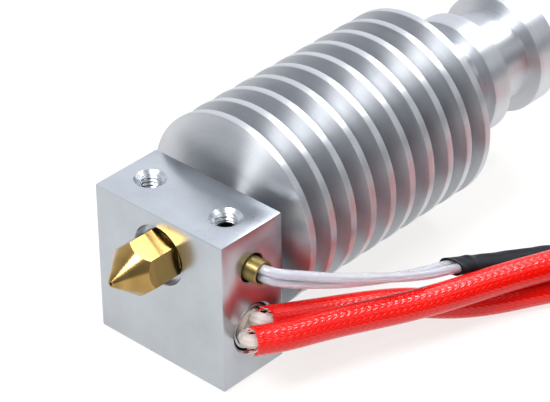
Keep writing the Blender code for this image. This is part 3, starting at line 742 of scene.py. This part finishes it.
def make_heatsink():
    outline = []
    for k in range(FINS):
        start = FIN_START + FIN_PITCH * k
        end = start + FIN_THICK
        outline += [(12.5, start, 0.12), (12.5, end, 0.12)]
        if k < FINS - 1:
            outline += [(7.0, end, 0.22), (7.0, start + FIN_PITCH, 0.22)]
    outline += [
        (6.0, 44.6, 0.25), (6.0, 51.2, 0.25), (8.0, 51.2, 0.15), (8.0, 54.2, 0.15),
        (6.0, 54.2, 0.15), (6.0, 60.2, 0.15), (8.0, 60.2, 0.15), (8.0, 63.9, 0.25),
        (4.2, 63.9, 0.12), (4.2, 58.6, 0),
        (2.3, 58.6, 0.1), (2.3, 33.3, 0), (3.05, 33.3, 0), (3.05, FIN_START, 0.1),
    ]
    mesh = turned(rounded(outline, 0.1, 3), "Y", 256)
    add("heatsink_body", mesh, "heatsink", nodes=["heatsink"], origin=AXIS)


def make_push_fit():
    outline = [
        (3.45, 58.9, 0.05), (3.9, 58.9, 0.1), (3.9, 63.9, 0.2), (3.1, 63.9, 0.2), (3.1, 61.9, 0.05),
        (3.45, 60.9, 0.05),
    ]
    mesh = turned(rounded(outline), "Y", 96)
    add("push_fit_insert", mesh, "insert_brass", nodes=["collet_insert"], origin=AXIS)
    thick = 1.5
    head = box_mm("collet")[1][1] - thick
    outline = [
        (2.1, -4.2), (2.75, -4.2, 0.15), (2.75, -3.3, 0.1), (2.5, -2.9, 0.1), (2.5, 0.0, 0.1),
        (3.7, 0.0, 0.15), (3.7, thick, 0.3), (2.1, thick, 0.35),
    ]
    collet = loose(turned(rounded(outline, 0.05), "Y", 96), (0, head, AXIS_Z))
    slots = []
    for k in range(4):
        turn = Matrix.Rotation(math.radians(45 + 90 * k), 4, "Y")
        mesh = box((1.0, -5.0, -0.25), (3.4, -0.9, 0.25))
        mesh.transform(turn)
        slots.append(loose(mesh, (0, head, AXIS_Z)))
    carve(collet, slots)
    mesh = taken(collet, 30.0)
    add("collet_body", mesh, "black_plastic", "collet", ["collet"], origin=(0, head, AXIS_Z))


def make_heater():
    outline = [
        (0, -9.6), (2.8, -9.6, 0.3), (2.8, 9.7, 0.15), (2.45, 9.7, 0.1), (2.45, -8.8, 0.2),
        (0, -8.8),
    ]
    mesh = turned(rounded(outline, 0.1), "X", 96)
    add("heater_can", mesh, "steel", nodes=["heater_sheath"], origin=HEATER)
    core = rounded([(0, -8.4), (1.5, -8.4, 0.2), (1.5, 8.0, 0.2), (0, 8.0)], 0.2)
    mesh = turned(core, "X", 48)
    add("heater_core_rod", mesh, "ceramic", nodes=["heater_core"], origin=HEATER)
    points, wound = 260, 1.95
    turns = np.linspace(0, 14 * math.pi, points)
    along = np.linspace(-7.6, 7.2, points)
    wire = np.column_stack([along, wound * np.cos(turns), wound * np.sin(turns)])
    mesh = tube_mesh(wire, 0.15, 8)
    add("heater_coil_wire", mesh, "nichrome", nodes=["heater_element"], origin=HEATER)
    plug = [
        (0, 8.3), (2.12, 8.3, 0.1), (2.12, 9.5, 0.25), (1.5, 9.75, 0.3), (0.4, 9.55, 0.2), (0, 9.5),
    ]
    lumps = rng.uniform(0, 2 * math.pi, 6)

    def swell(turn, height, radius):
        waves = sum(np.sin((k + 2) * turn + lumps[k]) for k in range(6)) / 6
        return 0.12 * waves * np.clip(height - 8.8, 0, 1)

    outline = fine_line(rounded(plug, 0.1, closed=False), 0.12)
    mesh = turned(outline, "X", 64, closed=False, swell=swell)
    add("heater_end_plug", mesh, "ceramic", nodes=["heater_seal"], origin=HEATER)


def fibre_tuft(centre, heading):
    """Loose strands round a cut end, as one mesh of thin curved hairs."""
    count, spread, length, thickness, body_radius = 34, 0.35, 0.75, 0.07, 1.45
    heading = np.array(heading) / np.linalg.norm(heading)
    side = np.cross(heading, (0, 0, 1.0))
    side /= np.linalg.norm(side)
    up = np.cross(heading, side)
    shape = bmesh.new()
    for k in range(count):
        angle = 2 * math.pi * (k + rng.uniform(-0.4, 0.4)) / count
        out = math.cos(angle) * side + math.sin(angle) * up
        start = np.array(centre) + out * body_radius * rng.uniform(0.8, 1.0) + heading * 0.5
        reach = length * rng.uniform(0.6, 1.25)
        sway = spread * rng.uniform(-0.5, 1.0)
        turn = rng.uniform(-0.4, 0.4)
        cross = np.cross(heading, out)
        points = []
        for t in np.linspace(0, 1, 6):
            back = heading * (reach * t + 0.3 * t)
            points.append(start - back + out * sway * t * t + cross * turn * t * t * 0.6)
        rows = tube_rows(np.array(points), thickness * np.linspace(1.0, 0.55, 6), 5)
        rings = [[shape.verts.new(p * MM) for p in row] for row in rows]
        for one, two in zip(rings, rings[1:]):
            for j in range(5):
                shape.faces.new((one[j - 1], one[j], two[j], two[j - 1]))
        shape.faces.new(rings[0])
        shape.faces.new(rings[-1])
    bmesh.ops.recalc_face_normals(shape, faces=shape.faces)
    return shaded(mesh_of(shape), 60.0)


def make_heater_leads():
    for letter in "ab":
        node = f"heater_lead_{letter}_coil"
        middle, bottom = coil_place(node)
        radii = [25.5, 22.1, 18.7, 15.3, 15.3, 18.7, 22.1, 25.5]
        heights = [bottom + 1.7] * 4 + [bottom + 5.1] * 4
        leave = {"a": -10.0, "b": -5.0}[letter]
        wound = coil_points(middle, radii, heights, 123.5, leave)
        path = spline(LEAD_ROUTES[letter] + wound + LEAD_TAILS[letter], 0.3)
        path, run = thinned(path, lambda d: 0.3 if d < 75 else 1.2)
        radii = np.interp(run, [0, 6, 60, 75], [1.74, 1.8, 1.8, 1.68])
        red = add(
            f"lead_{letter}_sleeve",
            tube_mesh(path, radii, 48, run, bore=1.3, depth=2.6),
            "red_sleeve", nodes=[f"heater_lead_{letter}", node, f"heater_lead_{letter}_end"],
        )
        heading = path[0] - path[1]
        fray = add(
            f"lead_{letter}_fray",
            fibre_tuft(path[0], -heading),
            "glass_fibre",
        )
        make_heater_tail(letter, path)
        parts = make_ferrule(letter, path)


def make_heater_tail(letter, path):
    """The fibre-covered wire from the heater's end into the sleeve."""
    inside = path[0] + unit(path[1:2] - path[0:1])[0] * 2.2
    start = {"a": (9.7, -25.6, 6.0), "b": (9.7, -23.9, 7.0)}[letter]
    bend = {"a": (11.4, -27.3, 7.2), "b": (10.5, -24.5, 8.0)}[letter]
    step = 0.15
    line = spline([start, bend, tuple(path[0]), tuple(inside)], step)
    wobble = rng.uniform(0, 2 * math.pi, 3)

    def relief(turn):
        run = np.arange(len(line))[:, None] * step
        lay = np.sin(7 * turn[None, :] - run * 3.0 + wobble[0]) * 0.05
        return lay + 0.05 * np.sin(3 * turn[None, :] + run * 2.2 + wobble[1])

    mesh = tube_mesh(line, 0.78, 36, relief=relief)
    add(f"tail_{letter}_wire", mesh, "glass_fibre", nodes=[f"heater_tail_{letter}"])


def make_ferrule(letter, path):
    """The crimped ferrule on a lead's far end: collar and pin."""
    heading = unit(path[-1:] - path[-3:-2])[0]
    turn = Vector((0, 0, 1)).rotation_difference(Vector(heading)).to_matrix()
    collar = [(0, 0.05), (1.5, 0.05, 0.2), (1.35, 3.6, 0.3), (1.1, 5.3, 0.1), (0, 5.3)]
    one = add(
        f"ferrule_{letter}_collar", turned(rounded(collar), "Z", 48), "ferrule_collar",
        nodes=[f"ferrule_collar_{letter}"], origin=path[-1], turn=turn,
    )
    pin = [(0, 5.2), (0.9, 5.2, 0.05), (0.9, 12.2, 0.1), (0.7, 12.5, 0.05), (0.6, 12.2), (0, 12.2)]
    pin = fine_line(rounded(pin, 0.05, closed=False), 0.2)

    def crimp(angle, height, radius):
        squash = np.clip((height - 6.0) * 2, 0, 1) * np.clip((12.0 - height) * 2, 0, 1)
        ribs = 0.5 + 0.5 * np.sin(height * 2 * math.pi / 0.8)
        return -squash * (0.10 * np.cos(4 * angle) ** 2 + 0.05 * ribs) * (radius > 0.85)

    two = add(
        f"ferrule_{letter}_pin", turned(pin, "Z", 48, closed=False, swell=crimp), "tinned",
        nodes=[f"ferrule_pin_{letter}"], origin=path[-1], turn=turn,
    )
    return [one, two]


# ---- the thermistor and its leads
def make_thermistor():
    outline = [
        (0, 4.5), (1.5, 4.5, 0.15), (1.5, 11.7, 0.12), (1.2, 11.7, 0.1), (1.2, 4.9, 0.1), (0, 4.9),
    ]
    mesh = turned(rounded(outline), "X", 96)
    add("sensor_capsule", mesh, "capsule_brass", nodes=["thermistor_capsule"], origin=SENSOR)
    angles = np.radians(np.linspace(-90, 90, 13))
    bead = [(0.6 * max(0.0, math.cos(a)), 6.0 + 0.8 * math.sin(a)) for a in angles]
    bead[0], bead[-1] = (0, bead[0][1]), (0, bead[-1][1])
    mesh = turned(bead, "X", 32, closed=False)
    add("sensor_bead", mesh, "bead_glass", nodes=["thermistor_bead"], origin=SENSOR)
    cement = rounded([(0, 7.1), (0.9, 7.1, 0.2), (0.9, 9.0, 0.3), (0, 9.2)], 0.2)
    mesh = turned(cement, "X", 32)
    add("sensor_cement", mesh, "ceramic", nodes=["thermistor_cement"], origin=SENSOR)


def pair(middle, turns, spacings):
    """Two lines beside a middle one, turning about it from one angle to another."""
    along = unit(np.gradient(middle, axis=0))
    flat = unit(np.cross(along, (0, 0, 1.0)))
    up = np.cross(flat, along)
    share = np.linspace(0, 1, len(middle))
    turn = np.radians(np.interp(share, turns[0], turns[1]))[:, None]
    half = np.interp(share, spacings[0], spacings[1])[:, None] / 2
    side = np.cos(turn) * flat + np.sin(turn) * up
    return middle + half * side, middle - half * side


def make_clear_sleeves():
    step = 0.25
    middle = spline(SLEEVE_ROUTE, step)
    lines = pair(middle, ([0, 0.15, 0.75, 1], [84, 78, 10, 0]), ([0, 1], [1.24, 1.24]))
    for letter, line in zip("ab", lines):
        rows = tube_rows(line, 0.6, 32)
        inner = tube_rows(line, 0.38, 32)[::-1]
        run = np.arange(len(line)) * step
        u = np.concatenate([run, run[::-1]]) / 10.0
        v = np.linspace(0, 1, 33)
        mesh = grid_mesh(np.concatenate([rows, inner]), wrap_rows=True, uv=(u, v), angle=40.0)
        node = f"thermistor_sleeve_{letter}"
        sleeve = add(f"sensor_sleeve_{letter}", mesh, "clear_ptfe", nodes=[node])
        phase = rng.uniform(0, 6)
        _, side, up = frames(line)
        sway = 0.06 * np.sin(run * 0.8 + phase)[:, None] * side
        sway = sway + 0.05 * np.cos(run * 0.55 + phase)[:, None] * up
        mesh = tube_mesh(line + sway, 0.16, 16)
        core = add(f"sensor_core_{letter}", mesh, "sensor_wire", slot="clear_ptfe")


def make_splice():
    """The heat-shrink tube: oval, rippled, pinched between the wires, its mouth cut aslant."""
    path = spline(SPLICE_ROUTE, 0.16)
    count, sides = len(path), 56
    share = np.linspace(0, 1, count)
    along, _, _ = frames(path)
    flat = unit(np.cross(along, (0, 0, 1.0)))
    up = np.cross(flat, along)
    wide = np.interp(share, [0, 0.05, 0.25, 0.32, 0.5, 1], [1.55, 1.5, 1.45, 1.4, 1.38, 1.3])
    stations = [0, 0.05, 0.15, 0.2, 0.26, 0.45, 1]
    high = np.interp(share, stations, [1.0, 0.94, 0.95, 1.06, 0.9, 0.84, 0.74])
    turn = circle(sides)
    phases = rng.uniform(0, 6, 8)
    ripple = np.zeros((count, sides))
    run = share[:, None] * path_length(path)
    for k in range(8):
        ripple += np.sin((k % 3 + 2) * turn[None, :] + run * (0.6 + 0.35 * k) + phases[k]) * 0.007
    pinch = np.interp(share, [0, 0.25, 0.45], [1, 0.8, 0])[:, None]
    dent = -0.10 * np.exp(-((np.abs(np.sin(turn[None, :])) - 1) ** 2) / 0.03) * pinch
    scale = 1 + ripple
    ring = (wide[:, None] * np.cos(turn) * scale)[..., None] * flat[:, None]
    ring = ring + ((high[:, None] + dent) * np.sin(turn) * scale)[..., None] * up[:, None]
    slant = 0.7 * (1 - share) ** 12
    shift = (slant[:, None] * (0.4 - np.cos(turn)[None, :] * 0.6))[..., None] * along[:, None]
    rows = path[:, None] + ring - shift
    first = path[0] + along[0] * 1.2
    inside = first + (rows[0] - path[0]) * 0.82
    mouth = path[0] + (rows[0] - path[0]) * 0.86
    last = path[-1] - along[-1] * 0.8
    rim = rows[-1] - path[-1]
    out = [np.repeat(first[None], sides, 0), inside, mouth, *rows]
    out += [path[-1] + rim * 0.84, last + rim * 0.8, np.repeat(last[None], sides, 0)]
    mesh = grid_mesh(np.array(out), angle=50.0)
    add("splice_tube", mesh, "heat_shrink", nodes=["splice_sleeve"])


def make_white_wires():
    middle, bottom = coil_place("thermistor_wire_coil")
    radii = [24.0, 21.6, 19.2, 16.8, 16.8, 19.2, 21.6, 24.0]
    heights = [bottom + 0.6] * 4 + [bottom + 1.8] * 4
    wound = coil_points(middle, radii, heights, 105.0, 10.0)
    line = spline(WIRE_ROUTE + wound + WIRE_TAIL, 0.4)
    spread = ([0, 0.004, 0.985, 1], [1.22, 1.22, 1.22, PIN_SPACING])
    ends = []
    for letter, path in zip("ab", pair(line, ([0, 1], [0, 0]), spread)):
        length = path_length(path)
        path, run = thinned(path, lambda d: 0.8)
        node = f"thermistor_wire_{letter}"
        wire = add(
            f"sensor_wire_{letter}", tube_mesh(path, 0.59, 20, run), "white_wire",
            nodes=[node, "thermistor_wire_coil", f"{node}_end"],
        )
        ends.append((wire, path, length))
    pieces = make_connector((ends[0][1][-1] + ends[1][1][-1]) / 2, line[-1] - line[-4])


def make_connector(end, heading):
    """The 2-way connector: a housing with two open ways, and a crimped contact in each."""
    turn = Matrix.Rotation(math.atan2(heading[1], heading[0]), 3, "Z")
    mesh = box((-3.0, -2.55, -1.25), (11.0, 2.55, 1.25))
    housing = loose(mesh)
    soften(housing, 0.18, 2)
    cutters = []
    for side in (-1, 1):
        middle = side * PIN_SPACING / 2
        cutters += [
            loose(box((-4, middle - 0.95, -0.95), (12, middle + 0.95, 0.95))),
            loose(box((3.2, middle - 0.55, 0.5), (5.6, middle + 0.55, 2))),
        ]
    carve(housing, cutters)
    carve(housing, [loose(box((6.5, -0.12, 1.05), (12, 0.12, 2)))])
    mesh = taken(housing, 28.0)
    place = {"origin": end, "turn": turn}
    out = [add("sensor_plug", mesh, "black_plastic", nodes=["connector_housing"], **place)]
    for letter, side in (("a", -1), ("b", 1)):
        middle = side * PIN_SPACING / 2
        body = loose(box((3.0, middle - 0.65, -0.65), (10.1, middle + 0.65, 0.65)))
        soften(body, 0.1, 2)
        inner = loose(box((5.0, middle - 0.42, -0.42), (11, middle + 0.42, 0.42)))
        window = loose(box((5.6, middle - 0.3, 0.2), (7.4, middle + 0.3, 1)))
        carve(body, [inner, window])
        crimp = [
            (0, 0.3), (0.72, 0.3, 0.1), (0.72, 1.3, 0.15), (0.5, 1.6), (0.62, 2.0),
            (0.62, 3.1, 0.1), (0, 3.1),
        ]
        barrel = turned(rounded(crimp, 0.08), "X", 24)
        barrel.transform(Matrix.Translation((0, middle * MM, 0)))
        carve(body, [loose(barrel)], "UNION")
        mesh = taken(body, 30.0)
        node = f"connector_terminal_{letter}"
        out.append(add(f"sensor_contact_{letter}", mesh, "tinned", nodes=[node], **place))
    return out


# ---- small parts
def make_screws():
    for key, side, length in (("thermistor", 1, 2.0), ("heater", -1, 5.0)):
        place = AXIS + (side * SCREW_SIDE, HALF_BLOCK, 0)
        base = box_mm(f"{key}_grub_screw")[0][2] - AXIS_Z
        top = base + length
        outline = [
            (0, base), (0.8, base), (1.22, base + 0.35), (1.22, top - 0.2), (1.05, top), (0, top),
        ]
        swell = thread(FINE_PITCH, 0.18, base + 0.3, top - 0.15, 1.15, 1.3)
        mesh = turned(fine_line(outline, 0.08), "Z", 48, closed=False, swell=swell)
        screw = loose(mesh, place)
        socket = [(0, top - 1.3), (0.86, top - 1.2), (0.86, top + 0.5), (0, top + 0.5)]
        hexagon = turned(socket, "Z", 6, closed=False)
        carve(screw, [loose(hexagon, place)])
        mesh = taken(screw, 30.0)
        add(f"{key}_set_screw", mesh, "black_steel", nodes=[f"{key}_grub_screw"], origin=place)


def make_ties():
    """Two flat ties round the three coils, each with a head on top."""
    wire_low, wire_high = box_mm("thermistor_wire_coil")
    low, high = box_mm("heater_lead_a_coil")
    middle = (low + high) / 2
    reach = (high[0] - low[0]) / 2
    hole = 2 * COIL_MIDDLE - reach
    wire_reach = (wire_high[0] - wire_low[0]) / 2
    wire_hole = 2 * COIL_MIDDLE - wire_reach
    floor, shoulder, top = box_mm("heater_lead_b_coil")[0][2], high[2], wire_high[2]
    outline = [
        (hole - 0.15, floor - 0.2), (reach + 0.15, floor - 0.2), (reach + 0.15, shoulder + 0.1),
        (wire_reach + 0.2, top + 0.15), (wire_hole - 0.2, top + 0.15),
        (hole - 0.15, shoulder + 0.1),
    ]
    line = rounded(outline, 1.3, 6)
    out = np.roll(line, -1, axis=0) - np.roll(line, 1, axis=0)
    normal = unit(np.column_stack([out[:, 1], -out[:, 0]]))
    flip = np.sign(((line - line.mean(axis=0)) * normal).sum(axis=1))[:, None]
    normal = normal * flip
    centre = (middle[0], middle[1], 0.0)
    section = [(-1.25, 0.0), (-1.25, 0.55), (-1.0, 0.75), (1.0, 0.75), (1.25, 0.55), (1.25, 0.0)]
    for number, degrees in enumerate((75.0, 255.0), 1):
        nodes = [f"coil_tie_{number}"]
        rows = []
        for p, n in zip(line, normal):
            rows.append([(p[0] + n[0] * h, w, p[1] + n[1] * h) for w, h in section])
        mesh = grid_mesh(np.array(rows), wrap_rows=True, angle=40.0)
        turn = Matrix.Rotation(math.radians(degrees), 3, "Z")
        add(f"tie_{number}_band", mesh, "tie_nylon", nodes=nodes, origin=centre, turn=turn)
        head = box((wire_reach - 3.6, -2.0, top + 0.2), (wire_reach - 0.4, 2.0, top + 1.6))
        piece = loose(head)
        soften(piece, 0.3, 2)
        mesh = taken(piece, 28.0)
        add(f"tie_{number}_head", mesh, "tie_nylon", nodes=nodes, origin=centre, turn=turn)


# ---- floor and light
def make_stage():
    mesh = bpy.data.meshes.new("floor")
    mesh.from_pydata([(-2, -2, 0), (2, -2, 0), (2, 2, 0), (-2, 2, 0)], [], [(0, 1, 2, 3)])
    floor = placed("floor", mesh)
    floor.location.z = -0.0001
    look = Look("floor").set(
        roughness=0.75, base_color=(0.20, 0.20, 0.198), specular_ior_level=0.1,
        emission_color=(1.0, 0.99, 0.975), emission_strength=0.78,
    )
    mesh.materials.append(look.material)

    distance, target = 0.6, Vector((0, 0, 0.01))
    for name, direction, size, radiance in (
        ("overhead", (0.37, 0.38, 0.85), (0.11, 0.09), 32.0),
        ("back", (-0.12, 0.60, 0.79), (0.18, 0.14), 7.0),
        ("front", (0.05, -0.60, 0.80), (0.24, 0.18), 26.0),
        ("right", (0.84, -0.02, 0.54), (0.20, 0.20), 2.5),
    ):
        data = bpy.data.lights.new(name, "AREA")
        data.shape, data.size, data.size_y = "RECTANGLE", size[0], size[1]
        data.energy = radiance * math.pi * size[0] * size[1]
        light = placed(name, data)
        light.location = Vector(direction).normalized() * distance
        light.rotation_euler = (target - light.location).to_track_quat("-Z", "Y").to_euler()
    world = bpy.data.worlds.new("studio")
    bpy.context.scene.world = world
    world.use_nodes = True
    nodes, links = world.node_tree.nodes, world.node_tree.links
    coords = nodes.new("ShaderNodeTexCoord")
    towards = nodes.new("ShaderNodeVectorMath")
    towards.operation = "DOT_PRODUCT"
    towards.inputs[1].default_value = Vector((-0.55, 0.62, 0.56)).normalized()
    links.new(coords.outputs["Generated"], towards.inputs[0])
    ramp = nodes.new("ShaderNodeValToRGB")
    ramp.color_ramp.interpolation = "EASE"
    links.new(towards.outputs["Value"], ramp.inputs[0])
    links.new(ramp.outputs[0], nodes["Background"].inputs["Color"])
    dark, bright = ramp.color_ramp.elements
    dark.position, dark.color = 0.05, (0.22, 0.225, 0.24, 1)
    bright.position, bright.color = 0.8, (0.93, 0.95, 1.0, 1)
    nodes["Background"].inputs["Strength"].default_value = 1.3
    bpy.context.scene.view_settings.view_transform = "Standard"


LOOKS = make_looks()
make_camera()
make_splice()
make_clear_sleeves()
make_heater_leads()
make_white_wires()
make_block()
make_nozzle()
make_heat_break()
make_heatsink()
make_push_fit()
make_heater()
make_thermistor()
make_screws()
make_ties()
make_stage()
